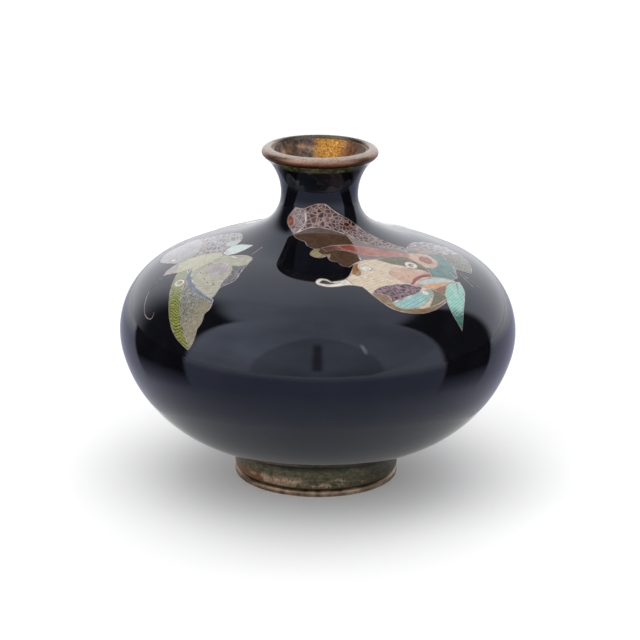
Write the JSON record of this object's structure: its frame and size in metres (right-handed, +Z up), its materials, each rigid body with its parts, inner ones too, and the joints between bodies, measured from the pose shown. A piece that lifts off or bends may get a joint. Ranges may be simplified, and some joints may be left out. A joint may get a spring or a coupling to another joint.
{
  "type": "cloisonne vase",
  "caption": "Round-bellied cloisonne enamel vase with a narrow flared neck, bronze lip and foot, and butterflies in coloured enamel on midnight blue.",
  "frame": {"origin": "centre of the flat face that the vase stands on", "axes": "+Z up along the axis of the vase; -Y is the front, seen in the picture; +X to the viewer's right"},
  "size_m": [0.1196, 0.1196, 0.1022],
  "materials": {
    "copper": "raised sheet copper, satin",
    "counter_enamel": "glossy dark blue",
    "gilt_lining": "worn gilding",
    "lip_bronze": "aged bronze, softly polished",
    "foot_bronze": "olive-brown patina",
    "foot_bead_bronze": "worn bronze",
    "midnight_enamel": "mirror-polished midnight blue",
    "green_enamel": "glossy olive green",
    "silver_wire": "polished flush silver",
    "lace_forewing": "glossy brown lace",
    "lace_hindwing": "glossy cream, purple and turquoise",
    "lace_small_wing": "glossy mint green",
    "lace_far_wings": "glossy pale grey",
    "lace_body": "glossy teal and salmon",
    "leaf_forewing": "glossy yellow-green and grey",
    "leaf_hindwing": "glossy khaki and lilac-grey",
    "leaf_far_wings": "glossy pale lilac",
    "leaf_body": "glossy pale yellow and mint"
  },
  "bodies": {
    "root": {"copper_bowl": "copper", "copper_shoulder": "copper", "inner_counter_enamel": "counter_enamel", "base_counter_enamel": "counter_enamel", "neck_lining": "gilt_lining", "lip_ring": "lip_bronze", "foot_ring": "foot_bronze", "foot_bead": "foot_bead_bronze", "ground_enamel": "midnight_enamel", "lip_band": "green_enamel", "front_butterfly_forewing": "lace_forewing", "front_butterfly_small_wing": "lace_small_wing", "front_butterfly_hindwing": "lace_hindwing", "front_butterfly_body": "lace_body", "front_butterfly_far_wings": "lace_far_wings", "front_butterfly_wires": "silver_wire", "left_butterfly_forewing": "leaf_forewing", "left_butterfly_body": "leaf_body", "left_butterfly_hindwing": "leaf_hindwing", "left_butterfly_far_wings": "leaf_far_wings", "left_butterfly_wires": "silver_wire", "back_butterfly_forewing": "lace_forewing", "back_butterfly_small_wing": "lace_small_wing", "back_butterfly_hindwing": "lace_hindwing", "back_butterfly_body": "lace_body", "back_butterfly_far_wings": "lace_far_wings", "back_butterfly_wires": "silver_wire"}
  },
  "joints": []
}
